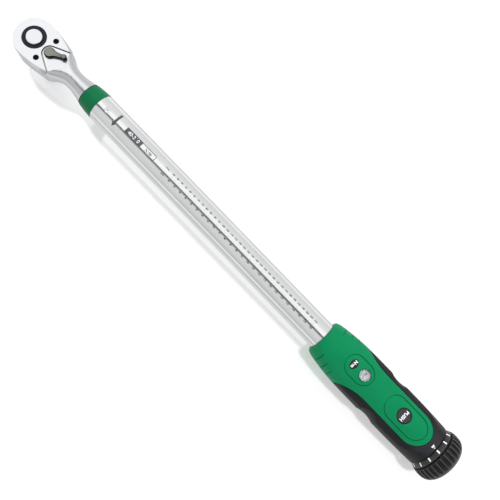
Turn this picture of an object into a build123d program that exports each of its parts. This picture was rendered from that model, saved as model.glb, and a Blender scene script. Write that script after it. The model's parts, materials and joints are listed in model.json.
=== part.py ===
from build123d import *
import math
import os

# Click torque wrench with a reversible ratchet head, in millimetres.
# Frame: +X runs from the drive axis to the setting knob, +Z from the square drive to the release
# button. The origin is on the drive axis, in the plane of the shoulder that a socket stops against.

# ---------------------------------------------------------------- driving dimensions
AXIS_Z = 19.4            # height of the tube axis over the socket shoulder
FACE_Z = 24.0            # flat top face of the ratchet head
HEAD_FLOOR_Z = 2.0       # flat underside of the ratchet head
PLATE_T = 2.6            # cover plate thickness
HEAD_END_X = 31.0        # where the flat head gives way to the shoulder
SQUARE = 12.7            # half-inch square drive, across flats
SQUARE_L = 15.0

GEAR_TEETH = 72
GEAR_TIP_R = 13.4
GEAR_TOOTH = 0.5
HUB_R = 10.76            # dark ring round the release button
HUB_TOP_Z = 23.8
JOURNAL_R = 10.0         # lower bearing of the gear
BUTTON_R = 7.2
BUTTON_TOP_Z = 25.3
BUTTON_TRAVEL = 2.5
BALL_R = 2.0
BALL_X = 5.25            # ball centre from the drive axis
BALL_Z = -7.8
BALL_TRAVEL = 1.1

LEVER_X = 20.0           # reversing lever pivot
LEVER_REST = 26.6        # degrees from the tool axis
LEVER_R = 4.8
LEVER_REACH = 13.2       # centre of the thumb tab from the pivot
V_NOSE_R = 6.5           # round nose of the island that the lever sits on
V_HALF_ANGLE = 26.5      # degrees from the tool axis
V_GAP = 0.5
LEVER_SHAFT_R = 3.2
PAWL_ROCK = 5.0          # degrees each way from neutral
PAWL_CLEAR = 0.15        # gap that both wings keep from the gear tips at neutral
PAWL_Z = (6.0, 18.0)
TOGGLE_Z = 12.0          # height of the toggle ball that flips the pawl
LEVER_FOOT_Z = 3.7
LEVER_SEAT_Z = FACE_Z - 0.5
SCREW_AT = (15.2, 11.3)  # cover screws, mirrored about the tool axis
SCREW_HEAD_R = 2.5
SCREW_SHANK_R = 1.5
SCREW_SEAT_Z = FACE_Z - 1.8

NECK_R = 8.75
NECK_X = 50.0            # narrowest place of the neck
FLARE_END_X = 68.3
COLLAR_X = (69.1, 84.4)

TUBE_R = 13.0
BORE_R = 11.2
TUBE_X = (75.5, 480.0)
PIVOT_X = 94.8
PIVOT_R = 2.6
ARM_END_X = 135.0
BLOCK_L = 11.3
PLUNGER_X = (145.0, 197.0)
SPRING_X = (200.0, 383.0)
SPRING_WIRE_R = 1.9
SPRING_R = 8.9
SPRING_TURNS = 22
NUT_X = (388.0, 406.0)
SETTING_TRAVEL = 26.15   # travel of the nut from the lowest to the highest setting
SCREW_FRONT_X = 364.0
SCREW_R = 5.0
JOURNAL_END_R = 4.5
FLANGE_X = (458.0, 461.0)
FLANGE_R = 8.0
RACE_T = 1.0
RACE_R = 8.6
THRUST_X = FLANGE_X[1] + 2 * RACE_T      # middle of the thrust balls
THRUST_R = 6.7
THRUST_BALLS = 12
PLUG_X = (FLANGE_X[1] + 4 * RACE_T, TUBE_X[1])
PLUG_PIN_X = 473.0
PLUG_PIN_R = 1.5
CLIP_GROOVE_X = (PLUG_X[1] + 0.2, PLUG_X[1] + 1.2)
HEXAGON_X = 482.4        # start of the hexagon end that carries the knob
HEXAGON_R = 4.4
HEXAGON_L = 15.9

GRIP_X = (358.5, 483.8)
GRIP_R = 21.25           # widest half-width of the grip
GRIP_FRONT = ((360.2, 16.9), (369.0, 18.9), (380.0, 20.3), (394.0, 21.1))
GRIP_REAR = ((450.0, 21.2), (464.0, 21.0), (483.8, 20.3))
FINGER_X = (420.8, 429.8, 438.8)         # start, deepest place and end of the finger scallop
FINGER_DEPTH = 1.5
RIBS = ((368.2, 18.75), (375.5, 19.8), (382.4, 20.5))   # x and surface radius of the side ribs
CROWN_R = 26.0           # radius of the flattened top and bottom of the grip
CROWN_TOP = 17.0
CROWN_BOTTOM = 18.8
CROWN_LIFT_X = 464.0     # behind this the crown opens out until the grip is round
GRIP_WALL = 2.2          # thickness of the green cover
COVER_GAP = 0.35
SLEEVE_END_X = 389.5     # end of the all-round part of the green cover
TONGUE_HALF = 14.1
WINDOW_X = 403.6
WINDOW_R = 4.9
BADGE_X = 390.8
BADGE_HALF = (3.2, 4.8)
BADGE_SEAT_Z = AXIS_Z + 15.2
PANELS = (((383.2, 411.5), 9.8), ((429.5, 472.0), 10.8))   # x span and half-width of the sunken panels
DISH_R = 9.6             # thumb dish round the lock button
DISH_DEPTH = 1.3
LOCK_X = 449.0
LOCK_R = 6.0
LOCK_TRAVEL = 2.0
LOCK_UNDER_Z = AXIS_Z + 12.5             # underside of the lock button, where the yoke joins it
LOCK_SPRING_Z = AXIS_Z - 16.6
YOKE_T = 5.0
WHEEL_R = 6.6
WHEEL_SEAT_R = 4.6
WHEEL_TEETH = 24
KNOB_X = (484.3, 506.0)
KNOB_R = 22.4
KNOB_FRONT_X = KNOB_X[0] + 4.8           # end of the ring with the setting marks
FLUTES = 30
FLUTE_R = 1.5
FLUTE_DEPTH = 1.4
CAP_R = 10.0
KNOB_SCREW_R = 1.9

RUN = 0.05               # radial clearance of a running fit
GAP = 0.3                # clearance between bodies that never touch

MIN_Z = (Align.CENTER, Align.CENTER, Align.MIN)


# ---------------------------------------------------------------- helpers
def post(x, y, z_low, z_high, radius):
    """Upright cylinder."""
    return Pos(x, y, z_low) * Cylinder(radius, z_high - z_low, align=MIN_Z)


def rod(x_low, x_high, radius, y=0.0, z=AXIS_Z):
    """Cylinder along the tool."""
    return Pos(x_low, y, z) * Rot(0, 90, 0) * Cylinder(radius, x_high - x_low, align=MIN_Z)


def block(x_span, y_span, z_span):
    """Box between two corners."""
    low = Vector(x_span[0], y_span[0], z_span[0])
    size = Vector(x_span[1], y_span[1], z_span[1]) - low
    corner = (Align.MIN, Align.MIN, Align.MIN)
    return Pos(*low) * Box(size.X, size.Y, size.Z, align=corner)


def turned(line):
    """Solid of revolution about the tube axis from a closed outline of (x, radius)."""
    plane = Plane(origin=(0, 0, AXIS_Z), x_dir=(1, 0, 0), z_dir=(0, -1, 0))
    return revolve(plane * make_face(line), Axis((0, 0, AXIS_Z), (1, 0, 0)))


def turned_points(points):
    return turned(Polyline(*points, close=True))


def around_axis(angle):
    """Rotation about the tube axis."""
    return Pos(0, 0, AXIS_Z) * Rot(angle, 0, 0) * Pos(0, 0, -AXIS_Z)


def coil(radius, wire, length, turns):
    """Round-wire spring along +Z, starting at the origin."""
    path = Helix(pitch=(length - 2 * wire) / turns, height=length - 2 * wire, radius=radius)
    section = Plane(origin=path @ 0, z_dir=path % 0) * Circle(wire)
    return Pos(0, 0, wire) * sweep(section, path=path, is_frenet=True)


def ring_on_z(z_low, z_high, inner, outer, x=0.0):
    return post(x, 0, z_low, z_high, outer) - post(x, 0, z_low - 1, z_high + 1, inner)


def ring_on_x(x_low, x_high, inner, outer):
    return rod(x_low, x_high, outer) - rod(x_low - 1, x_high + 1, inner)


def hexagon_on_x(x, radius):
    return Plane(origin=(x, 0, AXIS_Z), z_dir=(1, 0, 0)) * RegularPolygon(radius, 6)


# ---------------------------------------------------------------- ratchet head
def head_outline(nose_x, half_widths):
    """Pear-shaped outline: round end, then gently narrowing sides through three half-widths."""
    (x1, y1), (x2, y2), (x3, y3) = half_widths
    upper = ThreePointArc((x1, y1), (x2, y2), (x3, y3))
    lower = ThreePointArc((x3, -y3), (x2, -y2), (x1, -y1))
    nose = ThreePointArc((x1, -y1), (nose_x, 0), (x1, y1))
    return make_face([nose, upper, Line((x3, y3), (x3, -y3)), lower])


HEAD_FACE = (-18.1, ((2.0, 18.7), (16.0, 17.1), (HEAD_END_X, 13.1)))
HEAD_WIDE = (-18.6, ((2.0, 19.2), (17.0, 18.2), (HEAD_END_X, 15.7)))
HEAD_LOW = (-18.0, ((2.0, 18.6), (16.0, 16.8), (28.5, 13.9)))
HEAD_FLOOR = (-16.9, ((2.0, 17.5), (16.0, 15.7), (27.8, 12.8)))


def head_body():
    """Drafted lower body of the head, bevelled round the underside."""
    layers = ((HEAD_FLOOR_Z, HEAD_FLOOR), (HEAD_FLOOR_Z + 1.3, HEAD_LOW), (FACE_Z - PLATE_T, HEAD_WIDE))
    return loft([Pos(0, 0, z) * head_outline(*outline) for z, outline in layers], ruled=True)


def face_block():
    """Top layer of the head, shared by the cover plate and the lever island."""
    layers = ((FACE_Z - PLATE_T, HEAD_WIDE), (FACE_Z, HEAD_FACE))
    return loft([Pos(0, 0, z) * head_outline(*outline) for z, outline in layers], ruled=True)


def v_region(offset):
    """Half-open wedge round the lever, with a round nose, that the cover plate leaves free."""
    nose_r = V_NOSE_R + offset
    half = math.radians(V_HALF_ANGLE)
    tangent = (LEVER_X - nose_r * math.sin(half), nose_r * math.cos(half))
    far_x = 65.0
    corner = (far_x, tangent[1] + (far_x - tangent[0]) * math.tan(half))
    return make_face([
        ThreePointArc((tangent[0], -tangent[1]), (LEVER_X - nose_r, 0), tangent),
        Line(tangent, corner),
        Line(corner, (corner[0], -corner[1])),
        Line((corner[0], -corner[1]), (tangent[0], -tangent[1])),
    ])


def v_wedge(offset, bevel):
    """The wedge as a solid; just under the face it opens out or draws in by the bevel."""
    edge_z = FACE_Z - 0.4
    straight = extrude(v_region(offset), edge_z)
    sloped = loft([Pos(0, 0, edge_z) * v_region(offset), Pos(0, 0, edge_z + 1) * v_region(offset + bevel)],
                  ruled=True)
    return straight + sloped


def flare():
    """Shoulder that blends the flat head into the round neck."""
    stations = (
        # x, half width, top z, bottom z, corner radius
        (24.0, 15.4, 23.6, 2.8, 3.5),
        (31.0, 15.3, 24.4, 4.2, 5.5),
        (37.5, 13.0, 26.3, 8.0, 8.6),
        (43.5, 10.0, 27.6, 10.2, 8.6),
        (NECK_X, NECK_R, AXIS_Z + NECK_R, AXIS_Z - NECK_R, NECK_R - 0.05),
    )
    sections = []
    for x, half, top, bottom, corner in stations:
        plane = Plane(origin=(x, 0, (top + bottom) / 2), x_dir=(0, 1, 0), z_dir=(1, 0, 0))
        sections.append(plane * RectangleRounded(2 * half, top - bottom, corner))
    return loft(sections)


def neck():
    """Turned neck, with the flare that closes the front of the collar."""
    edge = Spline((NECK_X - 1, NECK_R), (54.5, NECK_R), (61.0, 9.7), (FLARE_END_X, 11.3),
                  tangents=((1, 0), (1, 0.25)))
    start, end = edge @ 0, edge @ 1
    outline = [
        edge,
        Line(end, (end.X, 0)),
        Line((end.X, 0), (start.X, 0)),
        Line((start.X, 0), start),
    ]
    return turned(outline)


def tang():
    """Stub, pivot block and trip arm inside the tube."""
    stub = rod(FLARE_END_X - 1, 84.0, 9.4)
    pivot_block = rod(82.0, 110.0, 10.4) & block((82, 110), (-7.5, 7.5), (0, 40))
    arm = block((108, ARM_END_X), (-5.5, 5.5), (AXIS_Z - 7.6, AXIS_Z + 7.6))
    pocket = block((ARM_END_X - 1, ARM_END_X + 1), (-4.3, 4.3), (AXIS_Z - 6.6, AXIS_Z + 6.6))
    bore = post(PIVOT_X, 0, 0, 40, PIVOT_R + RUN)
    return stub + pivot_block + arm - pocket - bore


def pawl_outline(extra):
    """Two-winged pawl round its pivot in the plane of the head; extra widens it for its pocket."""
    hub = Pos(LEVER_X, 0) * Circle(5.0 + extra)
    reach = 6.4 + extra
    tip_x = 11.2 - 2.5 * extra
    wings = make_face(Polyline(
        (LEVER_X, 4.6 + extra), (14.6, reach + 1.4), (tip_x, reach + 1.4),
        (tip_x, -reach - 1.4), (14.6, -reach - 1.4), (LEVER_X, -4.6 - extra), close=True))
    return hub + wings


def ratchet_head():
    island = face_block() & v_wedge(0, -1)
    head = head_body() + island + flare() + neck() + tang()
    end, corner_y = HEAD_FACE[1][2]
    tip_x, tip_y = 38.6, 1.4
    chevron = make_face(Polyline((-25, -30), (-25, 30), (end, 30), (end, corner_y), (tip_x, tip_y),
                                 (tip_x, -tip_y), (end, -corner_y), (end, -30), close=True))
    head -= extrude(Pos(0, 0, FACE_Z) * chevron, 10)
    head -= block((-25, end), (-30, 30), (FACE_Z - PLATE_T, FACE_Z + 10)) - v_wedge(0, -1)
    floor_top = 5.0
    head -= post(0, 0, floor_top, FACE_Z, GEAR_TIP_R + 0.4)
    head -= post(0, 0, HEAD_FLOOR_Z - 1, FACE_Z, JOURNAL_R + RUN)
    seal_groove = ring_on_z(3.0, 4.2, JOURNAL_R - 1, JOURNAL_R + 1.1)
    pawl_pocket = extrude(Pos(0, 0, PAWL_Z[0] - GAP) * pawl_outline(1.0), PAWL_Z[1] - PAWL_Z[0] + 3 * GAP)
    head = head - seal_groove - pawl_pocket
    head -= post(LEVER_X, 0, LEVER_FOOT_Z - GAP, FACE_Z + 1, LEVER_SHAFT_R + RUN)
    head -= post(LEVER_X, 0, LEVER_SEAT_Z - GAP, FACE_Z + 1, LEVER_R + GAP)
    for side in (1, -1):
        head -= post(SCREW_AT[0], side * SCREW_AT[1], FACE_Z - 11, FACE_Z, SCREW_SHANK_R)
    return head


def cover_plate():
    plate = face_block() - v_wedge(V_GAP, 1)
    plate -= post(0, 0, 0, 40, HUB_R + RUN + 0.03)
    for side in (1, -1):
        plate -= post(SCREW_AT[0], side * SCREW_AT[1], 0, 40, SCREW_SHANK_R + 0.1)
        plate -= post(SCREW_AT[0], side * SCREW_AT[1], SCREW_SEAT_Z, 40, SCREW_HEAD_R + 0.1)
    return plate


def cover_screws():
    """Two socket screws with their hexagon recesses."""
    screws = []
    for side in (1, -1):
        x, y = SCREW_AT[0], side * SCREW_AT[1]
        head = post(x, y, SCREW_SEAT_Z, FACE_Z - 0.25, SCREW_HEAD_R)
        head = chamfer(head.edges().sort_by(Axis.Z)[-1], 0.3)
        screw = head + post(x, y, FACE_Z - 10.5, SCREW_SEAT_Z, SCREW_SHANK_R)
        screw -= Pos(x, y, FACE_Z - 1.5) * extrude(RegularPolygon(1.45, 6), 2)
        screws.append(screw)
    return Compound(children=screws)


def gear_profile(extra=0.0):
    """Ratchet tooth ring outline; extra widens it evenly for a mating clearance."""
    points = []
    for tooth in range(GEAR_TEETH):
        for part, radius in ((-0.5, GEAR_TIP_R - GEAR_TOOTH), (0.0, GEAR_TIP_R)):
            angle = 2 * math.pi * (tooth + part) / GEAR_TEETH
            points.append(((radius + extra) * math.cos(angle), (radius + extra) * math.sin(angle)))
    return make_face(Polyline(*points, close=True))


def drive_gear():
    """Ratchet gear, bearings and square drive in one forging."""
    gear = extrude(Pos(0, 0, 5.3) * gear_profile(), 15.8)
    gear += post(0, 0, 20.5, HUB_TOP_Z, HUB_R)
    gear += post(0, 0, 0.0, 6.0, JOURNAL_R)
    square = Pos(0, 0, -SQUARE_L) * extrude(Rectangle(SQUARE, SQUARE), SQUARE_L + 1)
    square &= post(0, 0, -SQUARE_L, 2, 8.2)
    square = chamfer(square.faces().sort_by(Axis.Z)[0].edges(), 0.8)
    gear += square
    hub_edge = gear.edges().filter_by(GeomType.CIRCLE).group_by(Axis.Z)[-1]
    gear = chamfer(hub_edge, 0.4)
    gear -= post(0, 0, 14.5, 40, 8.1)
    gear -= post(0, 0, -12.6, 20, 3.2 + RUN)
    gear -= Pos(0, 0, BALL_Z) * Rot(0, 90, 0) * Cylinder(BALL_R + RUN, 12, align=MIN_Z)
    return gear


def gear_seal():
    """O-ring round the lower bearing."""
    profile = Plane.XZ * (Pos(JOURNAL_R + 0.55, 3.6) * Circle(0.5))
    return revolve(profile, Axis.Z)


def button_retainer():
    return ring_on_z(22.6, 23.4, BUTTON_R + 0.08, 8.1)


def release_button():
    """Chrome push button: crowned cap with a flange that the retainer keeps in."""
    cap = post(0, 0, 20.2, BUTTON_TOP_Z, BUTTON_R)
    cap = fillet(cap.edges().sort_by(Axis.Z)[-1], 0.7)
    cap += post(0, 0, 20.2, 22.3, 7.85)
    return cap - post(0, 0, 19, 23, 2.0)


def release_pin():
    """Stem under the button, with the cone that lets the ball drop in."""
    wide = BALL_X - BALL_R - RUN
    narrow = wide - BALL_TRAVEL
    cone_low = BALL_Z - 0.42
    outline = Polyline((0, -12.3 + BUTTON_TRAVEL), (wide, -12.3 + BUTTON_TRAVEL), (wide, cone_low),
                       (narrow, cone_low + BUTTON_TRAVEL), (2.0, 0.5), (2.0, 23), (0, 23), close=True)
    return revolve(Plane.XZ * make_face(outline), Axis.Z)


def button_spring():
    return Pos(0, 0, 14.5) * coil(5.2, 0.5, 5.7, 2.5)


def detent_ball():
    return Pos(BALL_X, 0, BALL_Z) * Sphere(BALL_R)


def lever_frame():
    return Pos(LEVER_X, 0, 0) * Rot(0, 0, LEVER_REST)


def reverse_lever():
    """Thumb lever: bevelled round hub, narrow waist and raised tab on one shaft."""
    hub_top = FACE_Z + 2.6
    hub = Pos(0, 0, LEVER_SEAT_Z) * extrude(Circle(LEVER_R), hub_top - LEVER_SEAT_Z)
    waist = make_face([
        ThreePointArc((1.0, 4.5), (6.6, 2.5), (LEVER_REACH - 1, 2.3)),
        Line((LEVER_REACH - 1, 2.3), (LEVER_REACH - 1, -2.3)),
        ThreePointArc((LEVER_REACH - 1, -2.3), (6.6, -2.5), (1.0, -4.5)),
        Line((1.0, -4.5), (1.0, 4.5)),
    ])
    arm = Pos(0, 0, FACE_Z + GAP) * extrude(waist, hub_top - FACE_Z - GAP)
    lever = chamfer((hub + arm).faces().sort_by(Axis.Z)[-1].edges(), 0.8)
    tab = Pos(0, 0, FACE_Z + GAP) * extrude(Pos(LEVER_REACH, 0) * Circle(2.5), 3.6)
    lever += chamfer(tab.edges().group_by(Axis.Z)[-1], 0.8)
    shaft = post(0, 0, LEVER_FOOT_Z, FACE_Z, LEVER_SHAFT_R)
    shaft -= ring_on_z(PAWL_Z[1] + 0.2, PAWL_Z[1] + 0.65, LEVER_SHAFT_R - 0.5, 6)
    shaft -= Pos(0.4, 0, TOGGLE_Z) * Rot(0, 90, 0) * Cylinder(1.35, 6, align=MIN_Z)
    return lever_frame() * (lever + shaft)


def lever_circlip():
    clip = ring_on_z(PAWL_Z[1] + 0.2, PAWL_Z[1] + 0.6, LEVER_SHAFT_R - 0.45, 4.6)
    clip -= block((0, 8), (-1.3, 1.3), (0, 40))
    return lever_frame() * clip


def toggle_ball():
    return lever_frame() * Pos(2.25, 0, TOGGLE_Z) * Sphere(1.25)


def toggle_spring():
    return lever_frame() * Pos(0.45, 0, TOGGLE_Z) * Rot(0, 90, 0) * coil(0.75, 0.14, 0.75, 2)


def turn_about_lever(angle):
    return Pos(LEVER_X, 0) * Rot(0, 0, angle) * Pos(-LEVER_X, 0)


def pawl():
    """Rocking pawl; its wings carry the counter-form of the gear at the two engaged angles.

    At neutral both wings clear the gear tips, so the pawl can rock over while the gear stands still.
    """
    height = PAWL_Z[1] - PAWL_Z[0]
    blank = turn_about_lever(PAWL_ROCK) * extrude(Pos(0, 0, PAWL_Z[0]) * pawl_outline(0.0), height)
    cutter = extrude(Pos(0, 0, PAWL_Z[0] - 1) * gear_profile(0.12), height + 2)
    blank = blank - cutter
    blank = blank - turn_about_lever(2 * PAWL_ROCK) * cutter
    blank -= turn_about_lever(PAWL_ROCK) * post(0, 0, PAWL_Z[0] - 1, PAWL_Z[1] + 1, GEAR_TIP_R + PAWL_CLEAR)
    blank -= post(LEVER_X, 0, 0, 30, LEVER_SHAFT_R + RUN)
    blank -= ring_on_z(TOGGLE_Z - 1.6, TOGGLE_Z + 1.6, 1, LEVER_SHAFT_R + 0.65, x=LEVER_X)
    return blank


# ---------------------------------------------------------------- tube and trip mechanism
def housing_tube():
    tube = rod(COLLAR_X[1], TUBE_X[1], TUBE_R) + rod(TUBE_X[0], COLLAR_X[1] + 1, TUBE_R - 0.9)
    tube -= rod(TUBE_X[0] - 1, TUBE_X[1] + 1, BORE_R)
    tube -= post(PIVOT_X, 0, 0, 40, PIVOT_R)
    key_slot = (NUT_X[0] - SETTING_TRAVEL + 3, NUT_X[0] + 14)
    tube -= block(key_slot, (-2.9, 2.9), (AXIS_Z, 40))
    tube -= block((LOCK_X - 7, LOCK_X + 7), (-9.6, 9.6), (AXIS_Z + 3, 40))
    tube -= block((LOCK_X - 4, LOCK_X + 4), (-9.6, 9.6), (-10, AXIS_Z - 3))
    return tube - plug_pin_hole()


def plug_pin_hole():
    return Pos(PLUG_PIN_X, 0, AXIS_Z) * Rot(90, 0, 0) * Cylinder(PLUG_PIN_R, 40)


def front_collar():
    """Green end ring: tapered outside, stepped inside over the tube end."""
    x_low, x_high = COLLAR_X
    collar = turned_points([(x_low, 10.95), (x_low, 11.3), (x_low + 0.7, 11.75), (78.0, 12.75),
                            (x_high, TUBE_R + 0.05), (x_high, TUBE_R - 0.9), (TUBE_X[0], TUBE_R - 0.9),
                            (TUBE_X[0], 10.95)])
    return collar


def pivot_pin():
    pin = post(PIVOT_X, 0, AXIS_Z - TUBE_R + 0.1, AXIS_Z + TUBE_R - 0.1, PIVOT_R)
    pin = chamfer(pin.edges().group_by(Axis.Z)[0] + pin.edges().group_by(Axis.Z)[-1], 0.3)
    for z in (AXIS_Z + TUBE_R - 1.4, AXIS_Z - TUBE_R - 0.4):
        pin -= post(PIVOT_X, 0, z, z + 1.8, 1.1)
    return pin


def click_block():
    """Tilting block with crowned ends between the trip arm and the plunger."""
    start = ARM_END_X - 1 + 0.35
    end = start + BLOCK_L
    crown = 0.9
    outline = make_face([
        ThreePointArc((start + crown, -3.5), (start, 0), (start + crown, 3.5)),
        Line((start + crown, 3.5), (end - crown, 3.5)),
        ThreePointArc((end - crown, 3.5), (end, 0), (end - crown, -3.5)),
        Line((end - crown, -3.5), (start + crown, -3.5)),
    ])
    return Pos(0, 0, AXIS_Z - 5.6) * extrude(outline, 11.2)


def plunger():
    """Piston between the click block and the main spring, guided on two lands."""
    x_low, x_high = PLUNGER_X
    land = BORE_R - 0.08
    piston = turned_points([(x_low, 0), (x_low, land - 0.6), (x_low + 0.6, land), (x_low + 12, land),
                            (x_low + 14, 9.4), (x_high - 14, 9.4), (x_high - 12, land), (x_high, land),
                            (x_high, 0)])
    piston -= block((x_low - 1, x_low + 1), (-4.3, 4.3), (AXIS_Z - 6.6, AXIS_Z + 6.6))
    return piston - rod(x_low + 20, x_high + 1, 5.0)


def front_spring_cup():
    low, high = PLUNGER_X[1], SPRING_X[0]
    return turned_points([(low, 3.0), (low, 11.0), (high, 11.0), (high, 6.7), (high + 4, 6.5),
                          (high + 4, 3.0)])


def main_spring():
    length = SPRING_X[1] - SPRING_X[0]
    return Pos(SPRING_X[0], 0, AXIS_Z) * Rot(0, 90, 0) * coil(SPRING_R, SPRING_WIRE_R, length, SPRING_TURNS)


def rear_spring_cup():
    low, high = SPRING_X[1], NUT_X[0]
    return turned_points([(low - 4, 5.4), (low - 4, 6.5), (low, 6.7), (low, 11.0), (high, 11.0),
                          (high, 5.4)])


def adjusting_nut():
    low, high = NUT_X
    nut = rod(low, high, BORE_R - 0.08)
    nut -= rod(low - 1, high + 1, SCREW_R + RUN)
    return nut - block((low + 4, low + 12), (-2.5, 2.5), (AXIS_Z + 8, 40))


def scale_carriage():
    """Setting scale under the window, with the key that stops the nut from turning."""
    low = NUT_X[0]
    key = block((low + 4, low + 12), (-2.5, 2.5), (AXIS_Z + 8, AXIS_Z + 13.6))
    strip = block((low + 4, 436.0), (-4.5, 4.5), (AXIS_Z + 13.3, AXIS_Z + 13.9))
    return key + strip


def adjusting_screw():
    """Setting screw: plain thread stand-in, wheel seat, thrust flange, journal and hexagon end."""
    seat = (LOCK_X - 5, LOCK_X + 5)
    groove = CLIP_GROOVE_X
    screw = turned_points([
        (SCREW_FRONT_X, 0), (SCREW_FRONT_X, SCREW_R - 0.8), (SCREW_FRONT_X + 0.8, SCREW_R),
        (seat[0], SCREW_R), (seat[0], WHEEL_SEAT_R), (seat[1], WHEEL_SEAT_R), (seat[1], SCREW_R),
        (FLANGE_X[0], SCREW_R), (FLANGE_X[0], FLANGE_R), (FLANGE_X[1], FLANGE_R),
        (FLANGE_X[1], JOURNAL_END_R), (groove[0], JOURNAL_END_R), (groove[0], JOURNAL_END_R - 0.6),
        (groove[1], JOURNAL_END_R - 0.6), (groove[1], JOURNAL_END_R), (HEXAGON_X, JOURNAL_END_R),
        (HEXAGON_X, 0)])
    screw += extrude(hexagon_on_x(HEXAGON_X, HEXAGON_R), HEXAGON_L)
    return screw - rod(HEXAGON_X + 3.6, HEXAGON_X + HEXAGON_L + 1, 1.9)


def lock_wheel():
    """Fine-toothed wheel on the setting screw that the lock yoke holds."""
    points = []
    for tooth in range(WHEEL_TEETH):
        for part, radius in ((-0.5, WHEEL_R - 0.7), (-0.15, WHEEL_R), (0.15, WHEEL_R)):
            angle = 2 * math.pi * (tooth + part) / WHEEL_TEETH
            points.append((radius * math.cos(angle), radius * math.sin(angle)))
    plane = Plane(origin=(LOCK_X - 4, 0, AXIS_Z), z_dir=(1, 0, 0))
    wheel = extrude(plane * make_face(Polyline(*points, close=True)), 8.0)
    return wheel - rod(LOCK_X - 5, LOCK_X + 5, WHEEL_SEAT_R)


def thrust_race_front():
    return ring_on_x(FLANGE_X[1], FLANGE_X[1] + RACE_T, JOURNAL_END_R + RUN, RACE_R)


def thrust_race_rear():
    return ring_on_x(PLUG_X[0] - RACE_T, PLUG_X[0], JOURNAL_END_R + GAP, RACE_R)


def thrust_balls():
    balls = []
    for index in range(THRUST_BALLS):
        turn = around_axis(index * 360 / THRUST_BALLS)
        balls.append(turn * Pos(THRUST_X, 0, AXIS_Z + THRUST_R) * Sphere(RACE_T - RUN))
    return Compound(children=balls)


def thrust_cage():
    cage = ring_on_x(THRUST_X - 0.4, THRUST_X + 0.4, JOURNAL_END_R + 0.4, RACE_R - GAP)
    for index in range(THRUST_BALLS):
        turn = around_axis(index * 360 / THRUST_BALLS)
        cage -= turn * rod(THRUST_X - 1, THRUST_X + 1, RACE_T + RUN, z=AXIS_Z + THRUST_R)
    return cage


def end_plug():
    plug = rod(*PLUG_X, BORE_R) - rod(PLUG_X[0] - 1, PLUG_X[1] + 1, JOURNAL_END_R + RUN)
    return plug - plug_pin_hole()


def plug_pins():
    """Two pins that hold the end plug in the tube."""
    inner, outer = 6.0, TUBE_R - 0.2
    pins = []
    for low in (inner, -outer):
        pin = Cylinder(PLUG_PIN_R, outer - inner, align=MIN_Z)
        pins.append(Pos(PLUG_PIN_X, low, AXIS_Z) * Rot(-90, 0, 0) * pin)
    return Compound(children=pins)


def screw_circlip():
    low, high = CLIP_GROOVE_X
    clip = ring_on_x(low + 0.1, high - 0.1, JOURNAL_END_R - 0.55, 6.6)
    return clip - block((low - 1, high + 1), (-1.5, 1.5), (AXIS_Z, 40))


# ---------------------------------------------------------------- grip
def crown(height, lift, inset):
    """Long bar with the crown radius, whose top stands at height over the tube axis."""
    centre = AXIS_Z + height - CROWN_R
    bar = rod(340, CROWN_LIFT_X, CROWN_R - inset, z=centre)
    opening = Pos(CROWN_LIFT_X, 0, centre) * Rot(0, 90, 0)
    length = GRIP_X[1] + 1 - CROWN_LIFT_X
    return bar + opening * Cone(CROWN_R - inset, CROWN_R + lift - inset, length, align=MIN_Z)


def grip_form(inset):
    """Whole grip as one bar with finger scallops, flattened above and below, drawn in by inset."""
    front, back = GRIP_X
    scallop_low, scallop_mid, scallop_high = FINGER_X
    wide = GRIP_R - inset
    front_points = [(x, radius - inset) for x, radius in GRIP_FRONT] + [(scallop_low, wide)]
    rear_points = [(scallop_high, wide)] + [(x, radius - inset) for x, radius in GRIP_REAR]
    lip = GRIP_FRONT[0][1] - 2.0 - inset
    outline = [
        Line((front, 0), (front, lip)),
        ThreePointArc((front, lip), (front + 0.6, lip + 1.2), front_points[0]),
        Spline(*front_points, tangents=((1, 0.45), (1, 0))),
        ThreePointArc((scallop_low, wide), (scallop_mid, wide - FINGER_DEPTH), (scallop_high, wide)),
        Spline(*rear_points, tangents=((1, 0), (1, -0.04))),
        Line(rear_points[-1], (back, 0)),
        Line((back, 0), (front, 0)),
    ]
    top = crown(CROWN_TOP, 3.9, inset)
    bottom = mirror(crown(CROWN_BOTTOM, 2.1, inset), Plane(origin=(0, 0, AXIS_Z), z_dir=(0, 0, 1)))
    return turned(outline) & top & bottom


def tongue_outline(offset):
    """Plan of the green cover: full-width sleeve that narrows to a round-ended tongue."""
    half = TONGUE_HALF + offset
    sleeve_end = SLEEVE_END_X + offset
    curve_end = SLEEVE_END_X + 28.5 + offset
    edge_y = 22.0 + offset
    radius = ((curve_end - sleeve_end) ** 2 + (edge_y - half) ** 2) / (2 * (edge_y - half))
    sweep_angle = math.degrees(math.asin((curve_end - sleeve_end) / radius))
    upper = JernArc((curve_end, half), (-1, 0), radius, -sweep_angle)
    corner = upper @ 1
    lower = mirror(upper, Plane.XZ)
    tip_x = 476.2 + offset
    shoulder_x = 463.5
    far_x, far_y = 340, 30
    return make_face([
        Line((far_x, far_y), (corner.X, far_y)),
        Line((corner.X, far_y), corner),
        upper,
        Line((curve_end, half), (shoulder_x, half)),
        ThreePointArc((shoulder_x, half), (tip_x, 0), (shoulder_x, -half)),
        Line((shoulder_x, -half), (curve_end, -half)),
        lower,
        Line((corner.X, -corner.Y), (corner.X, -far_y)),
        Line((corner.X, -far_y), (far_x, -far_y)),
        Line((far_x, -far_y), (far_x, far_y)),
    ])


def cover_region(offset):
    """Space of the green cover: a sleeve all round in front, only the top behind it."""
    top = extrude(Pos(0, 0, AXIS_Z) * tongue_outline(offset), 30)
    sleeve = block((340, SLEEVE_END_X + offset), (-30, 30), (-20, AXIS_Z + 0.01))
    return top + sleeve


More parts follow.
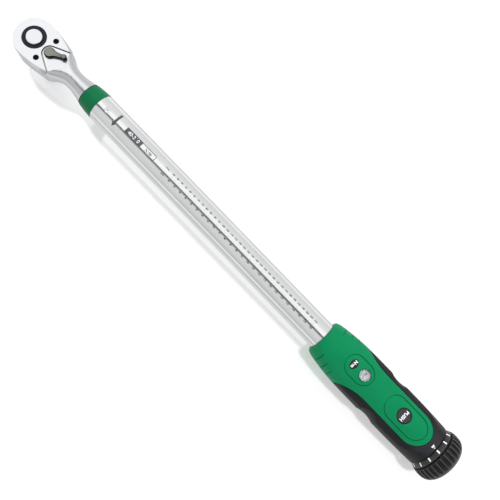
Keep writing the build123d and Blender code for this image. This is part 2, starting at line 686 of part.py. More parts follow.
def grip_openings():
    """Tube bore, scale channel, window, badge pocket, lock button and lock spring pockets."""
    cut = rod(350, 490, TUBE_R)
    cut += block((363, 437), (-5, 5), (AXIS_Z + 10, AXIS_Z + 14.3))
    cut += post(WINDOW_X, 0, AXIS_Z + 10, 60, WINDOW_R + 0.9)
    cut += Pos(BADGE_X, 0, BADGE_SEAT_Z) * extrude(Ellipse(*BADGE_HALF), 20)
    cut += post(LOCK_X, 0, AXIS_Z + 5, 60, LOCK_R + 0.7)
    cut += post(LOCK_X, 0, LOCK_SPRING_Z, AXIS_Z, 2.8)
    return cut


def obround(span, half, inset=0.0):
    """Long rounded panel between two x positions."""
    length = span[1] - span[0] - 2 * inset
    return Pos((span[0] + span[1]) / 2, 0) * SlotOverall(length, 2 * (half - inset))


def grip_body(form, core, openings):
    """Black grip: bare behind, stepped down under the green cover."""
    body = form - cover_region(COVER_GAP)
    return body + core - openings


def grip_cover(form, core, openings):
    """Green cover with the sunken panels and their outlines, the thumb dish and the side ribs."""
    cover = (form & cover_region(0.0)) - core
    sunk, deep = grip_form(0.35), grip_form(0.85)
    for span, half in PANELS:
        panel = extrude(Pos(0, 0, AXIS_Z) * obround(span, half), 30)
        outline = panel - extrude(Pos(0, 0, AXIS_Z) * obround(span, half, 0.6), 30)
        cover = cover - (panel - sunk) - (outline - deep)
    ball = (DISH_R ** 2 + DISH_DEPTH ** 2) / (2 * DISH_DEPTH)
    cover -= Pos(LOCK_X, 0, AXIS_Z + 16.6 - DISH_DEPTH + ball) * Sphere(ball)
    for x, radius in RIBS:
        groove = [(x - 0.5, radius + 3), (x - 0.5, radius - 0.1), (x, radius - 0.75), (x + 1.3, radius + 3)]
        cover -= turned_points(groove)
    return cover - openings


def window_bezel():
    return ring_on_z(AXIS_Z + 14.4, AXIS_Z + 16.35, WINDOW_R, WINDOW_R + 0.9, x=WINDOW_X)


def window_lens():
    lens = post(WINDOW_X, 0, AXIS_Z + 14.6, AXIS_Z + 16.1, WINDOW_R)
    return chamfer(lens.edges().group_by(Axis.Z)[-1], 0.25)


def unit_badge():
    badge = Pos(BADGE_X, 0, BADGE_SEAT_Z) * extrude(Ellipse(*BADGE_HALF), 1.35)
    return fillet(badge.edges().group_by(Axis.Z)[-1], 0.25)


def button_guide():
    return ring_on_z(AXIS_Z + 13.6, AXIS_Z + 15.2, LOCK_R + 0.1, LOCK_R + 0.7, x=LOCK_X)


def lock_button():
    """Round button with a faintly dished top."""
    top = AXIS_Z + 15.9
    button = post(LOCK_X, 0, LOCK_UNDER_Z, top, LOCK_R)
    button = fillet(button.edges().group_by(Axis.Z)[-1], 0.6)
    dish = 40.0
    return button - Pos(LOCK_X, 0, top - 0.4 + dish) * Sphere(dish)


def lock_yoke():
    """Yoke round the lock wheel; its lower bar carries the locking tooth."""
    wheel_hole = WHEEL_R + 0.6
    span = (LOCK_X - YOKE_T / 2, LOCK_X + YOKE_T / 2)
    plane = Plane(origin=(span[0], 0, AXIS_Z), x_dir=(0, 1, 0), z_dir=(1, 0, 0))
    outer = Circle(10.6) & Rectangle(18.4, 40)
    hole = Circle(wheel_hole) + Pos(0, LOCK_TRAVEL) * Circle(wheel_hole)
    hole += Pos(0, LOCK_TRAVEL / 2) * Rectangle(2 * wheel_hole, LOCK_TRAVEL)
    yoke = extrude(plane * (outer - hole), YOKE_T)
    yoke += block(span, (-3, 3), (AXIS_Z + 9.6, LOCK_UNDER_Z))
    return yoke + block(span, (-0.7, 0.7), (AXIS_Z - 8.5, AXIS_Z - WHEEL_R - GAP))


def lock_spring():
    return Pos(LOCK_X, 0, LOCK_SPRING_Z) * coil(1.9, 0.3, 6.0, 5)


# ---------------------------------------------------------------- knob
def tick_ring():
    """Sloping ring that carries the setting marks."""
    low, high = KNOB_X[0], KNOB_FRONT_X
    return turned_points([(low, 15.0), (low, 18.9), (low + 0.5, 19.35), (high - 0.4, 21.0), (high, 21.0),
                          (high, 15.0)])


def knob():
    """Fluted knob with a rounded end, a hexagon hub and a hollow front."""
    low, high = KNOB_X
    hub_low = low - 1.6
    flutes_low = KNOB_FRONT_X + 1.3
    dome_low = KNOB_FRONT_X + 7.4
    end_wall = high - 7.0
    cap_floor = high - 3.5
    body = turned([
        Line((KNOB_FRONT_X, 15.0), (KNOB_FRONT_X, 20.3)),
        Line((KNOB_FRONT_X, 20.3), (flutes_low, 20.3)),
        Line((flutes_low, 20.3), (flutes_low, 21.7)),
        ThreePointArc((flutes_low, 21.7), (flutes_low + 2.6, KNOB_R), (dome_low, KNOB_R)),
        ThreePointArc((dome_low, KNOB_R), (high - 1.8, 19.0), (high, 12.6)),
        Line((high, 12.6), (high, CAP_R)),
        Line((high, CAP_R), (cap_floor, CAP_R)),
        Line((cap_floor, CAP_R), (cap_floor, 0)),
        Line((cap_floor, 0), (hub_low, 0)),
        Line((hub_low, 0), (hub_low, 8.0)),
        Line((hub_low, 8.0), (end_wall, 8.0)),
        Line((end_wall, 8.0), (end_wall, 13.0)),
        Line((end_wall, 13.0), (low, 13.0)),
        Line((low, 13.0), (low, 15.0)),
        Line((low, 15.0), (KNOB_FRONT_X, 15.0)),
    ])
    flute = rod(flutes_low - 1, high + 3, FLUTE_R, z=AXIS_Z + KNOB_R - FLUTE_DEPTH + FLUTE_R)
    for index in range(FLUTES):
        body -= around_axis(360 * (index + 0.5) / FLUTES) * flute
    body -= extrude(hexagon_on_x(hub_low - 1, HEXAGON_R + RUN), HEXAGON_X + HEXAGON_L + 0.4 - hub_low + 1)
    return body - rod(HEXAGON_X, high, KNOB_SCREW_R + 0.2)


def knob_screw():
    """Cap screw that draws the knob onto the hexagon."""
    seat = KNOB_X[1] - 3.5
    screw = rod(seat - 15.5, seat, KNOB_SCREW_R) + rod(seat, seat + 1.9, 4.0)
    return screw - extrude(hexagon_on_x(seat + 0.5, 1.7), 3)


def knob_cap():
    """Thin cap that hides the knob screw."""
    low, high = KNOB_X[1] - 1.4, KNOB_X[1]
    return turned_points([(low, 0), (low, CAP_R), (high - 0.2, CAP_R), (high, CAP_R - 0.4), (high, 0)])


# ---------------------------------------------------------------- output
def parts():
    form = grip_form(0.0)
    core = grip_form(GRIP_WALL)
    openings = grip_openings()
    return {
        "ratchet_head": ratchet_head(),
        "cover_plate": cover_plate(),
        "cover_screws": cover_screws(),
        "gear_seal": gear_seal(),
        "drive_gear": drive_gear(),
        "button_retainer": button_retainer(),
        "release_button": release_button(),
        "release_pin": release_pin(),
        "button_spring": button_spring(),
        "detent_ball": detent_ball(),
        "reverse_lever": reverse_lever(),
        "lever_circlip": lever_circlip(),
        "toggle_ball": toggle_ball(),
        "toggle_spring": toggle_spring(),
        "pawl": pawl(),
        "housing_tube": housing_tube(),
        "front_collar": front_collar(),
        "pivot_pin": pivot_pin(),
        "click_block": click_block(),
        "plunger": plunger(),
        "front_spring_cup": front_spring_cup(),
        "main_spring": main_spring(),
        "rear_spring_cup": rear_spring_cup(),
        "adjusting_nut": adjusting_nut(),
        "scale_carriage": scale_carriage(),
        "adjusting_screw": adjusting_screw(),
        "lock_wheel": lock_wheel(),
        "thrust_race_front": thrust_race_front(),
        "thrust_race_rear": thrust_race_rear(),
        "thrust_balls": thrust_balls(),
        "thrust_cage": thrust_cage(),
        "end_plug": end_plug(),
        "plug_pins": plug_pins(),
        "screw_circlip": screw_circlip(),
        "grip_body": grip_body(form, core, openings),
        "grip_cover": grip_cover(form, core, openings),
        "window_bezel": window_bezel(),
        "window_lens": window_lens(),
        "unit_badge": unit_badge(),
        "button_guide": button_guide(),
        "lock_button": lock_button(),
        "lock_yoke": lock_yoke(),
        "lock_spring": lock_spring(),
        "tick_ring": tick_ring(),
        "knob": knob(),
        "knob_screw": knob_screw(),
        "knob_cap": knob_cap(),
    }


os.makedirs("parts", exist_ok=True)
for name, shape in parts().items():
    export_step(shape, f"parts/{name}.step")
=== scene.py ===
import json
import math
import bpy
from mathutils import Matrix, Vector


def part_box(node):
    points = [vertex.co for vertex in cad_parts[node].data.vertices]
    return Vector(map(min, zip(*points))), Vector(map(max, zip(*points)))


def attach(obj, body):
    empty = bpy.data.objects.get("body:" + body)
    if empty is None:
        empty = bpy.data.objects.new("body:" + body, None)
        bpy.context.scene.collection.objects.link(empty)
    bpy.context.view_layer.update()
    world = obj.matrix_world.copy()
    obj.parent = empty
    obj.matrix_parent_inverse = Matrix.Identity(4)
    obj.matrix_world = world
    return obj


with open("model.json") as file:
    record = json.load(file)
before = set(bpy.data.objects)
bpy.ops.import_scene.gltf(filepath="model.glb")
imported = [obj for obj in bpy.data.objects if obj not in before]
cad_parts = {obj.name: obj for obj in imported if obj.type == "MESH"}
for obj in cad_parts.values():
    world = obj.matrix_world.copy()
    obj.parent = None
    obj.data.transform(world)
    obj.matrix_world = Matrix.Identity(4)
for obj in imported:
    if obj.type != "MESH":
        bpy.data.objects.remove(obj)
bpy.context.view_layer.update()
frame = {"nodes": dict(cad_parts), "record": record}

# ---------------------------------------------------------------- places worked out from the frame
NODES = frame["nodes"]
TUBE_LOW, TUBE_HIGH = (Vector(corner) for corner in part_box("housing_tube"))
KNOB_LOW, KNOB_HIGH = (Vector(corner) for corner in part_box("knob"))
RING_LOW = Vector(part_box("tick_ring")[0])
GEAR_LOW = Vector(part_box("drive_gear")[0])
BADGE_LOW, BADGE_HIGH = (Vector(corner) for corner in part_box("unit_badge"))
LOCK_LOW, LOCK_HIGH = (Vector(corner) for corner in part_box("lock_button"))
SCALE_HIGH = Vector(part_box("scale_carriage")[1])
LENS_LOW, LENS_HIGH = (Vector(corner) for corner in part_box("window_lens"))
COLLAR_HIGH = Vector(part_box("front_collar")[1])
GRIP_HIGH = Vector(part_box("grip_body")[1])
AXIS_Z = (TUBE_LOW.z + TUBE_HIGH.z) / 2
TUBE_R = (TUBE_HIGH.z - TUBE_LOW.z) / 2
MM = 0.001
INK = 0.03 * MM              # how far printed marks stand off what they are printed on
PRESSED_INK = 3 * INK        # the same for marks on curved moulded pieces
FLOOR_GAP = 0.3 * MM         # how far the bench lies below the lowest points of the tool


# ---------------------------------------------------------------- materials
# (flatness, painted shade) pairs: 0 is an upright surface, 1 is a level one; the level multiplies a
# material's colour, so faces are painted lighter or darker by how they lie
HEAD_PAINTED_SHADE = ((0.0, 0.62), (0.7, 0.64), (0.93, 0.74), (0.985, 1.0))
# The tube's dark band between flatness 0.37 and 0.5 is a painted reflection, and its lighter level top is a
# painted highlight.
TUBE_PAINTED_REFLECTION_BANDS = ((0.0, 0.8), (0.3, 0.84), (0.37, 0.62), (0.5, 0.58), (0.66, 0.93), (0.95, 1.0))
RUBBER_PAINTED_SHADE = ((0.0, 0.25), (0.8, 0.35), (0.98, 1.0))
# The lever is painted near black on its sides and light only on its level tops: painted shade and painted
# highlight.
LEVER_PAINTED_SHADE = ((0.0, 0.04), (0.75, 0.07), (0.95, 0.35), (0.995, 1.0))


def new_material(name, metallic, ior=1.5):
    material = bpy.data.materials.new(name)
    material.use_nodes = True
    shader = material.node_tree.nodes["Principled BSDF"]
    shader.inputs["Metallic"].default_value = metallic
    shader.inputs["IOR"].default_value = ior
    return material, shader


def add(tree, kind, **inputs):
    """Adds a node; a keyword such as From_Min sets the input called From Min."""
    node = tree.nodes.new(kind)
    for key, value in inputs.items():
        node.inputs[key.replace("_", " ")].default_value = value
    return node


def noise_on(tree, scale, detail=3.0, stretch=(1, 1, 1)):
    """Noise in metres on the object's own coordinates, stretched along its axes."""
    place = tree.nodes.new("ShaderNodeTexCoord")
    mapping = add(tree, "ShaderNodeMapping", Scale=stretch)
    noise = add(tree, "ShaderNodeTexNoise", Scale=scale, Detail=detail)
    tree.links.new(place.outputs["Object"], mapping.inputs["Vector"])
    tree.links.new(mapping.outputs["Vector"], noise.inputs["Vector"])
    return noise.outputs["Fac"]


def vary_colour(tree, shader, fac, dark, light, slope_shade=()):
    """Colour between dark and light, with painted shade by how far the surface tilts, where tilt levels are
    given.
    """
    mix = tree.nodes.new("ShaderNodeMix")
    mix.data_type = "RGBA"
    mix.inputs["A"].default_value = (*dark, 1)
    mix.inputs["B"].default_value = (*light, 1)
    tree.links.new(fac, mix.inputs["Factor"])
    colour = mix.outputs["Result"]
    if slope_shade:
        colour = toned(tree, colour, slope_shade)
    tree.links.new(colour, shader.inputs["Base Color"])


def set_stops(ramp, stops):
    """Sets (place, level) stops on a grey colour ramp."""
    elements = ramp.color_ramp.elements
    while len(elements) < len(stops):
        elements.new(0.5)
    for element, (place, level) in zip(elements, stops):
        element.position = place
        element.color = (level, level, level, 1)


def toned(tree, colour, slope_shade):
    """Painted shade: colour times a level that depends on how flat the surface lies, 0 is upright, 1 is
    level.
    """
    place = tree.nodes.new("ShaderNodeTexCoord")
    parts = tree.nodes.new("ShaderNodeSeparateXYZ")
    flatness = tree.nodes.new("ShaderNodeMath")
    flatness.operation = "ABSOLUTE"
    ramp = tree.nodes.new("ShaderNodeValToRGB")
    set_stops(ramp, slope_shade)
    product = tree.nodes.new("ShaderNodeMix")
    product.data_type = "RGBA"
    product.blend_type = "MULTIPLY"
    product.inputs["Factor"].default_value = 1.0
    tree.links.new(place.outputs["Normal"], parts.inputs[0])
    tree.links.new(parts.outputs["Z"], flatness.inputs[0])
    tree.links.new(flatness.outputs[0], ramp.inputs["Fac"])
    tree.links.new(colour, product.inputs["A"])
    tree.links.new(ramp.outputs["Color"], product.inputs["B"])
    return product.outputs["Result"]


def vary_roughness(tree, shader, fac, low, high):
    spread = add(tree, "ShaderNodeMapRange", From_Min=0.3, From_Max=0.7, To_Min=low, To_Max=high)
    tree.links.new(fac, spread.inputs["Value"])
    tree.links.new(spread.outputs["Result"], shader.inputs["Roughness"])


def add_bump(tree, shader, fac, strength, distance):
    bump = add(tree, "ShaderNodeBump", Strength=strength, Distance=distance)
    tree.links.new(fac, bump.inputs["Height"])
    tree.links.new(bump.outputs["Normal"], shader.inputs["Normal"])


def metal(name, dark, light, rough, grain, stretch=(1, 1, 1), bump=0.15, depth=0.01 * MM, slope_shade=()):
    """Metal with a fine grain, seen in its roughness and relief, and a slow change of colour."""
    material, shader = new_material(name, 1.0)
    tree = material.node_tree
    fine = noise_on(tree, grain, 4.0, stretch)
    cloud = noise_on(tree, 45.0)
    vary_colour(tree, shader, cloud, dark, light, slope_shade)
    vary_roughness(tree, shader, fine, *rough)
    add_bump(tree, shader, fine, bump, depth)
    return material


def moulded(name, dark, light, rough, grain, bump, depth, specular=0.5, slope_shade=()):
    """Moulded plastic or rubber with an eroded surface."""
    material, shader = new_material(name, 0.0)
    tree = material.node_tree
    fine = noise_on(tree, grain, 3.0)
    cloud = noise_on(tree, 60.0)
    vary_colour(tree, shader, cloud, dark, light, slope_shade)
    vary_roughness(tree, shader, fine, *rough)
    add_bump(tree, shader, fine, bump, depth)
    shader.inputs["Specular IOR Level"].default_value = specular
    return material


def knob_material():
    """Black plastic with painted shade: ambient occlusion darkens the grooves, so they stay darker than its
    ridges.
    """
    material, shader = new_material("knob_plastic", 0.0)
    tree = material.node_tree
    fine = noise_on(tree, 1300.0, 3.0)
    # Painted shade: the colour follows ambient occlusion within 4 mm, darkest in the grooves.
    groove_occlusion = tree.nodes.new("ShaderNodeAmbientOcclusion")
    groove_occlusion.inputs["Distance"].default_value = 4.0 * MM
    groove_occlusion.samples = 8
    painted_groove_shade = add(tree, "ShaderNodeMapRange", From_Min=0.78, From_Max=1.0)
    tree.links.new(groove_occlusion.outputs["AO"], painted_groove_shade.inputs["Value"])
    vary_colour(tree, shader, painted_groove_shade.outputs["Result"], (0.001, 0.001, 0.001), (0.03, 0.03, 0.032))
    vary_roughness(tree, shader, fine, 0.3, 0.42)
    add_bump(tree, shader, fine, 0.2, 0.02 * MM)
    shader.inputs["Specular IOR Level"].default_value = 0.3
    return material


def lens_material():
    material, shader = new_material("clear_lens", 0.0, 1.49)
    tree = material.node_tree
    haze = noise_on(tree, 900.0, 2.0)
    vary_roughness(tree, shader, haze, 0.02, 0.07)
    shader.inputs["Base Color"].default_value = (0.96, 0.98, 1.0, 1)
    shader.inputs["Transmission Weight"].default_value = 1.0
    return material


def ink(name, dark, light, roughness=(0.45, 0.6)):
    return moulded(name, dark, light, roughness, 2500.0, 0.05, 0.01 * MM)


# Painted shade on all satin chrome parts: upright sides are painted darker than level faces.
SATIN = metal("satin_chrome", (0.79, 0.81, 0.83), (0.84, 0.855, 0.875), (0.26, 0.34), 2600.0,
              slope_shade=HEAD_PAINTED_SHADE)
# The tube's colour holds painted reflection bands by surface tilt.
TUBE_METAL_PAINTED_BANDS = metal("tube_satin_painted_reflection", (0.77, 0.78, 0.785), (0.84, 0.85, 0.85), (0.13, 0.2), 900.0, (6, 1, 1),
                   slope_shade=TUBE_PAINTED_REFLECTION_BANDS)
BRIGHT = metal("bright_chrome", (0.7, 0.715, 0.73), (0.78, 0.79, 0.8), (0.05, 0.12), 900.0, bump=0.05)
# The lever's chrome is coloured dark olive as a painted reflection of dark surroundings, with painted shade
# by surface tilt.
LEVER_METAL_PAINTED_DARK = metal("lever_chrome_painted_reflection", (0.12, 0.125, 0.115), (0.34, 0.34, 0.31), (0.1, 0.2), 900.0, bump=0.05,
                     slope_shade=LEVER_PAINTED_SHADE)
DARK_STEEL = metal("dark_steel", (0.022, 0.026, 0.034), (0.04, 0.045, 0.056), (0.3, 0.45), 1800.0)
BLACK_OXIDE = metal("black_oxide", (0.01, 0.01, 0.012), (0.03, 0.03, 0.034), (0.35, 0.5), 1800.0)
STEEL = metal("bright_steel", (0.5, 0.51, 0.53), (0.66, 0.67, 0.69), (0.18, 0.3), 1500.0, (1, 6, 6))
SPRING = metal("spring_steel", (0.22, 0.22, 0.24), (0.36, 0.37, 0.39), (0.25, 0.4), 1200.0)
BRASS = metal("brass", (0.62, 0.44, 0.18), (0.75, 0.58, 0.28), (0.2, 0.35), 1200.0)
GREEN = moulded("green_plastic", (0.0, 0.178, 0.066), (0.003, 0.208, 0.078), (0.4, 0.52), 1500.0, 0.25,
                0.03 * MM, 0.1)
COLLAR_GREEN = moulded("green_collar", (0.002, 0.112, 0.042), (0.004, 0.14, 0.053), (0.3, 0.42), 1200.0, 0.2,
                       0.02 * MM, 0.12)
# Painted light and shade on the rubber: level tops are painted far lighter than its sides.
RUBBER = moulded("black_rubber", (0.017, 0.018, 0.021), (0.026, 0.0275, 0.032), (0.42, 0.56), 1100.0, 0.5,
                 0.06 * MM, 0.2, RUBBER_PAINTED_SHADE)
KNOB_BLACK = knob_material()
BUTTON_GREY = moulded("button_plastic", (0.028, 0.028, 0.031), (0.038, 0.038, 0.042), (0.4, 0.5), 1500.0,
                      0.25, 0.02 * MM, 0.25)
BADGE_BLACK = moulded("badge_plastic", (0.006, 0.006, 0.006), (0.012, 0.012, 0.012), (0.18, 0.28), 1500.0,
                      0.1, 0.01 * MM, 0.25)
SCALE_WHITE = moulded("scale_white", (0.74, 0.74, 0.75), (0.8, 0.8, 0.81), (0.4, 0.5), 1500.0, 0.1,
                      0.01 * MM)
SEAL = moulded("seal_rubber", (0.015, 0.015, 0.015), (0.022, 0.022, 0.022), (0.5, 0.6), 1500.0, 0.2,
               0.02 * MM)
LENS = lens_material()
WHITE_INK = ink("white_ink", (0.8, 0.8, 0.8), (0.88, 0.88, 0.88))
DARK_INK = ink("dark_ink", (0.05, 0.05, 0.055), (0.09, 0.09, 0.095))

FINISHES = {
    "satin_chrome": SATIN, "bright_chrome": BRIGHT, "dark_steel": DARK_STEEL, "black_oxide": BLACK_OXIDE,
    "bright_steel": STEEL, "spring_steel": SPRING, "green_plastic": GREEN, "green_collar": COLLAR_GREEN,
    "black_rubber": RUBBER, "knob_plastic": KNOB_BLACK, "button_plastic": BUTTON_GREY,
    "badge_plastic": BADGE_BLACK, "scale_white": SCALE_WHITE, "lens": LENS, "seal_rubber": SEAL,
    "brass": BRASS,
}
SPECIAL = {"housing_tube": TUBE_METAL_PAINTED_BANDS, "reverse_lever": LEVER_METAL_PAINTED_DARK, "pivot_pin": BRIGHT}


def dress_nodes():
    """Gives every node the finish of its material slot, or its own finish where it has one."""
    slots = {part["node"]: part["material_slot"] for part in frame["record"]["subparts"]}
    for name, obj in NODES.items():
        finish = SPECIAL.get(name, FINISHES[slots[name]])
        if not obj.material_slots:
            obj.data.materials.append(finish)
        for material_slot in obj.material_slots:
            material_slot.material = finish


# ---------------------------------------------------------------- printed marks
def flat_piece(name, faces):
    """Mesh from a list of polygons, each a list of (x, y) points."""
    points = []
    polygons = []
    for face in faces:
        polygons.append(list(range(len(points), len(points) + len(face))))
        points.extend((x, y, 0.0) for x, y in face)
    mesh = bpy.data.meshes.new(name)
    mesh.from_pydata(points, [], polygons)
    obj = bpy.data.objects.new(name, mesh)
    bpy.context.collection.objects.link(obj)
    return obj


def bar(x, y, length, width, steps=1):
    """Rectangle centred on (x, y) in strips across its width, so that it can be wrapped."""
    strips = []
    for step in range(steps):
        low = y - width / 2 + width * step / steps
        high = low + width / steps
        left, right = x - length / 2, x + length / 2
        strips.append([(left, low), (right, low), (right, high), (left, high)])
    return strips


def lettering(name, words, size, turn=0.0, weight=0.05 * MM, spacing=1.0):
    """One flat mesh of several short words, each (text, x, y), read along the turned direction."""
    meshes = []
    for text, x, y in words:
        curve = bpy.data.curves.new(name, "FONT")
        curve.body = text
        curve.size = size
        curve.offset = weight
        curve.space_character = spacing
        curve.align_x = "CENTER"
        curve.align_y = "CENTER"
        curve.resolution_u = 4
        source = bpy.data.objects.new(name, curve)
        bpy.context.collection.objects.link(source)
        bpy.context.view_layer.update()
        graph = bpy.context.evaluated_depsgraph_get()
        mesh = bpy.data.meshes.new_from_object(source.evaluated_get(graph))
        mesh.transform(Matrix.Translation((x, y, 0)) @ Matrix.Rotation(turn, 4, "Z"))
        bpy.data.objects.remove(source)
        meshes.append(mesh)
    points = []
    polygons = []
    for mesh in meshes:
        start = len(points)
        points.extend(tuple(vertex.co) for vertex in mesh.vertices)
        polygons.extend([start + index for index in face.vertices] for face in mesh.polygons)
    joined = bpy.data.meshes.new(name)
    joined.from_pydata(points, [], polygons)
    obj = bpy.data.objects.new(name, joined)
    bpy.context.collection.objects.link(obj)
    return obj


def wrap_on_tube(obj, lift=INK):
    """Wraps a flat piece round the body tube: y becomes arc length."""
    radius = TUBE_R + lift
    for vertex in obj.data.vertices:
        turn = vertex.co.y / radius
        vertex.co.y = radius * math.sin(turn)
        vertex.co.z = AXIS_Z + radius * math.cos(turn)


def press_on(obj, node, radius, angle):
    """Lays a flat piece on the node's own surface, round the tool axis; radius only sets its width."""
    target = NODES[node]
    inward = target.matrix_world.inverted()
    for vertex in obj.data.vertices:
        turn = vertex.co.y / radius + angle
        outward = Vector((0, math.sin(turn), math.cos(turn)))
        axis_point = Vector((vertex.co.x, 0, AXIS_Z))
        start = inward @ (axis_point + outward * 3 * radius)
        ray = inward.to_3x3() @ -outward
        hit, spot, _, _ = target.ray_cast(start, ray)
        if not hit:
            raise ValueError(f"{obj.name} misses {node}")
        vertex.co = target.matrix_world @ spot + outward * PRESSED_INK


def lay(obj, height):
    """Lays a flat piece on a level face at the given height."""
    for vertex in obj.data.vertices:
        vertex.co.z = height + INK


def finish_mark(obj, material, body):
    obj.data.materials.append(material)
    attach(obj, body)


# ---------------------------------------------------------------- scale on the tube
NM_LOW, NM_HIGH, NUMBER_STEP = 40, 210, 5
LBFT_LOW, LBFT_HIGH = 30, 155
NM_PER_LBFT = 1.3558
SCALE_X = COLLAR_HIGH.x + 89.5 * MM      # place of the lowest newton metre number
MM_PER_NM = 1.005 * MM
UPPER_Y, LOWER_Y = 2.4 * MM, -4.3 * MM
TICK_UP_Y, TICK_DOWN_Y = 0.3 * MM, -1.9 * MM    # outer ends of the two rows of ticks
TICK_WIDTH = 0.14 * MM
NUMBER_SIZE = 2.1 * MM


def scale_x(newton_metres):
    return SCALE_X + (newton_metres - NM_LOW) * MM_PER_NM


def tick_height(value):
    return 1.1 * MM if value % NUMBER_STEP == 0 else 0.6 * MM


def tube_scale():
    """Newton metres above, pound-feet below, and a row of ticks for each."""
    upper = [(str(value), scale_x(value), UPPER_Y) for value in range(NM_LOW, NM_HIGH + 1, NUMBER_STEP)]
    lower = [(str(value), scale_x(value * NM_PER_LBFT), LOWER_Y)
             for value in range(LBFT_LOW, LBFT_HIGH + 1, NUMBER_STEP)]
    units = [("N·m", SCALE_X - 7.4 * MM, UPPER_Y), ("lb·ft", SCALE_X - 7.2 * MM, LOWER_Y)]
    for name, words in (("tube_numbers_upper", upper), ("tube_numbers_lower", lower), ("tube_units", units)):
        numbers = lettering(name, words, NUMBER_SIZE, weight=0.09 * MM)
        wrap_on_tube(numbers)
        finish_mark(numbers, DARK_INK, "frame")
    faces = []
    for value in range(NM_LOW, NM_HIGH + 1):
        height = tick_height(value)
        faces += bar(scale_x(value), TICK_UP_Y - height / 2, TICK_WIDTH, height)
    for value in range(LBFT_LOW, LBFT_HIGH + 1):
        height = tick_height(value)
        faces += bar(scale_x(value * NM_PER_LBFT), TICK_DOWN_Y + height / 2, TICK_WIDTH, height)
    ticks = flat_piece("tube_ticks", faces)
    wrap_on_tube(ticks)
    finish_mark(ticks, DARK_INK, "frame")


def tube_label():
    """Range label: a dark field with the range, then an outlined field with the unit and cut corners."""
    low, middle, high = (COLLAR_HIGH.x + offset * MM for offset in (33.2, 52.2, 68.9))
    half, line, cut = 3.0 * MM, 0.55 * MM, 1.2 * MM
    faces = bar((low + middle) / 2, 0, middle - low, 2 * half, 6)
    faces += bar((middle + high - cut) / 2, half - line / 2, high - cut - middle, line)
    faces += bar((middle + high - cut) / 2, line / 2 - half, high - cut - middle, line)
    faces += bar(high - line / 2, 0, line, 2 * (half - cut), 4)
    for side in (1, -1):
        faces.append([(high - cut, side * half), (high, side * (half - cut)),
                      (high - line, side * (half - cut)), (high - cut, side * (half - line))])
    plate = flat_piece("tube_label", faces)
    wrap_on_tube(plate)
    finish_mark(plate, DARK_INK, "frame")
    words = lettering("tube_label_range", [("40-210", (low + middle) / 2, 0)], 4.6 * MM)
    wrap_on_tube(words, 2 * INK)
    finish_mark(words, SCALE_WHITE, "frame")
    unit = lettering("tube_label_unit", [("N·m", (middle + high) / 2, 0)], 4.4 * MM, weight=0.14 * MM)
    wrap_on_tube(unit)
    finish_mark(unit, DARK_INK, "frame")


def turning_arrow():
    """Arrow round the tube that shows the tightening direction, in strips so that it follows the curve."""
    x = COLLAR_HIGH.x + 22.0 * MM
    tip, neck, tail = -6.9 * MM, -2.9 * MM, 6.9 * MM
    shaft, half = 2.3 * MM, 2.3 * MM
    strips = 8
    faces = bar(x, (neck + tail) / 2, shaft, tail - neck, 10)
    for step in range(strips):
        wide, narrow = (half * (strips - edge) / strips for edge in (step, step + 1))
        near, far = (neck + (tip - neck) * edge / strips for edge in (step, step + 1))
        faces.append([(x - narrow, far), (x + narrow, far), (x + wide, near), (x - wide, near)])
    arrow = flat_piece("turning_arrow", faces)
    wrap_on_tube(arrow)
    finish_mark(arrow, DARK_INK, "frame")


# ---------------------------------------------------------------- marks on the handle
INDEX_ANGLE = math.radians(-3.2)
RING_MARKS = 13
MARK_RADIUS = 20.2 * MM


def knob_marks():
    """White bars round the sloping ring in front of the knob."""
    centre = RING_LOW.x + 2.4 * MM
    for index in range(RING_MARKS):
        mark = flat_piece(f"knob_mark_{index:02d}", bar(centre, 0, 2.9 * MM, 1.25 * MM, 3))
        press_on(mark, "tick_ring", MARK_RADIUS, INDEX_ANGLE + 2 * math.pi * index / RING_MARKS)
        finish_mark(mark, WHITE_INK, "knob")


def index_triangle():
    """White triangle at the rear end of the grip, in strips so that it follows the curve."""
    tip, length, half = GRIP_HIGH.x - 0.5 * MM, 3.2 * MM, 1.6 * MM
    strips = 10
    faces = []
    for step in range(strips):
        low = -half + 2 * half * step / strips
        high = low + 2 * half / strips
        low_end, high_end = (tip - length * abs(y) / half for y in (low, high))
        faces.append([(tip - length, low), (low_end, low), (high_end, high), (tip - length, high)])
    triangle = flat_piece("index_triangle", faces)
    press_on(triangle, "grip_body", MARK_RADIUS, INDEX_ANGLE)
    finish_mark(triangle, WHITE_INK, "frame")


def handle_words():
    """Unit on the badge and a word on the lock button, both read from the side."""
    badge_x = (BADGE_LOW.x + BADGE_HIGH.x) / 2
    badge = lettering("badge_unit", [("N·m", badge_x, 0)], 4.0 * MM, -math.pi / 2, 0.12 * MM)
    lay(badge, BADGE_HIGH.z)
    finish_mark(badge, WHITE_INK, "frame")
    button_x = (LOCK_LOW.x + LOCK_HIGH.x) / 2
    button = lettering("button_word", [("PUSH", button_x, 0)], 3.9 * MM, -math.pi / 2, 0.14 * MM, 1.08)
    lay(button, LOCK_HIGH.z)
    finish_mark(button, WHITE_INK, "lock")


def window_scale():
    """Numbers and hair lines on the sliding scale under the window."""
    first = (LENS_LOW.x + LENS_HIGH.x) / 2
    last = SCALE_HIGH.x - 2 * MM
    words = []
    faces = []
    count = 5
    for index in range(count):
        x = first + (last - first) * index / (count - 1)
        words.append((str(40 + 40 * index), x, 1.6 * MM))
        faces += bar(x, -2.0 * MM, 0.3 * MM, 4.0 * MM)
    numbers = lettering("window_numbers", words, 2.6 * MM, -math.pi / 2)
    lines = flat_piece("window_lines", faces)
    for piece in (numbers, lines):
        lay(piece, SCALE_HIGH.z)
        finish_mark(piece, DARK_INK, "nut")


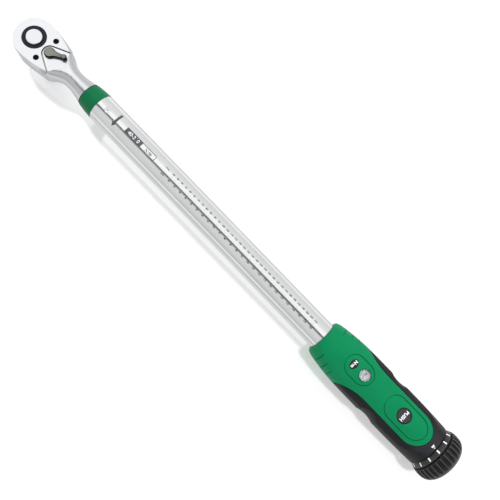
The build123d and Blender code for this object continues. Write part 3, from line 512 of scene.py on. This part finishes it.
# ---------------------------------------------------------------- light, floor and camera
def floor():
    """Pale bench that touches the square drive and the knob; much of its paleness is painted light, emitted
    by the bench itself.
    """
    low_front = Vector((GEAR_LOW.x * 0.4, 0, GEAR_LOW.z))
    low_rear = Vector(((KNOB_LOW.x + KNOB_HIGH.x) / 2, 0, KNOB_LOW.z))
    slope = (low_rear.z - low_front.z) / (low_rear.x - low_front.x)
    start = low_front.z - FLOOR_GAP
    reach = 3.0
    corners = [(-reach, -reach), (reach, -reach), (reach, reach), (-reach, reach)]
    points = [(x, y, start + slope * (x - low_front.x)) for x, y in corners]
    mesh = bpy.data.meshes.new("floor")
    mesh.from_pydata(points, [], [(0, 1, 2, 3)])
    bench = bpy.data.objects.new("floor", mesh)
    bpy.context.collection.objects.link(bench)
    material, shader = new_material("bench", 0.0, 3.6)
    tree = material.node_tree
    vary_colour(tree, shader, noise_on(tree, 3.0), (0.3, 0.303, 0.306), (0.32, 0.32, 0.32))
    shader.inputs["Roughness"].default_value = 0.12
    # Painted light: the bench emits light, 0.47 from y = -0.05 m up and 0.76 below y = -0.15 m, which
    # brightens the floor and washes out the tool's shadow on it.
    shader.inputs["Emission Color"].default_value = (1, 1, 1, 1)
    place = tree.nodes.new("ShaderNodeTexCoord")
    parts = tree.nodes.new("ShaderNodeSeparateXYZ")
    painted_floor_light = add(tree, "ShaderNodeMapRange", From_Min=-0.15, From_Max=-0.05, To_Min=0.76, To_Max=0.47)
    tree.links.new(place.outputs["Object"], parts.inputs[0])
    tree.links.new(parts.outputs["Y"], painted_floor_light.inputs["Value"])
    tree.links.new(painted_floor_light.outputs["Result"], shader.inputs["Emission Strength"])
    mesh.materials.append(material)


def area_light(name, place, target, size, power):
    light = bpy.data.lights.new(name, "AREA")
    light.shape = "RECTANGLE"
    light.size, light.size_y = size
    light.energy = power
    lamp = bpy.data.objects.new(name, light)
    lamp.visible_glossy = False
    bpy.context.collection.objects.link(lamp)
    place = Vector(place)
    lamp.location = place
    lamp.rotation_euler = (Vector(target) - place).to_track_quat("-Z", "Y").to_euler()


# sideways part of the direction, from 0 at -Y to 1 at +Y, and brightness
SKY = (
    (0.0, 0.62), (0.06, 0.78), (0.31, 0.82), (0.348, 0.08), (0.438, 0.08),
    (0.456, 1.18), (0.64, 1.18), (0.76, 0.92), (0.97, 0.84), (1.0, 0.8),
)


def studio():
    """Sky in bands across the tool, like long soft boxes, with two soft lamps."""
    world = bpy.data.worlds.new("studio")
    bpy.context.scene.world = world
    world.use_nodes = True
    tree = world.node_tree
    direction = tree.nodes.new("ShaderNodeTexCoord")
    parts = tree.nodes.new("ShaderNodeSeparateXYZ")
    spread = add(tree, "ShaderNodeMapRange", From_Min=-1.0, From_Max=1.0)
    ramp = tree.nodes.new("ShaderNodeValToRGB")
    tree.links.new(direction.outputs["Generated"], parts.inputs[0])
    tree.links.new(parts.outputs["Y"], spread.inputs["Value"])
    tree.links.new(spread.outputs["Result"], ramp.inputs["Fac"])
    tree.links.new(ramp.outputs["Color"], tree.nodes["Background"].inputs["Color"])
    set_stops(ramp, SKY)
    tree.nodes["Background"].inputs["Strength"].default_value = 1.0
    middle = (0.26, 0, AXIS_Z)
    area_light("key", (0.1, 0.9, 1.1), middle, (0.9, 0.6), 14)
    area_light("fill", (0.5, -1.0, 0.9), middle, (0.8, 0.6), 4)


def camera():
    """Looks down on the tool from over its near side, with the knob at the lower right."""
    data = bpy.data.cameras.new("camera")
    data.sensor_width = 36.0
    data.lens = 43.45
    eye = Vector((0.2884, -0.0926, 0.5266))
    target = Vector((0.2634, 0.0070, AXIS_Z))
    up_hint = Vector((-0.7175, 0.6759, 0.1681))
    back = (eye - target).normalized()
    right = up_hint.cross(back).normalized()
    up = back.cross(right)
    turn = Matrix((right, up, back)).transposed().to_4x4()
    view = bpy.data.objects.new("camera", data)
    view.matrix_world = Matrix.Translation(eye) @ turn
    bpy.context.collection.objects.link(view)
    bpy.context.scene.camera = view


dress_nodes()
tube_scale()
tube_label()
turning_arrow()
knob_marks()
index_triangle()
handle_words()
window_scale()
floor()
studio()
camera()
bpy.context.scene.view_settings.view_transform = "Standard"
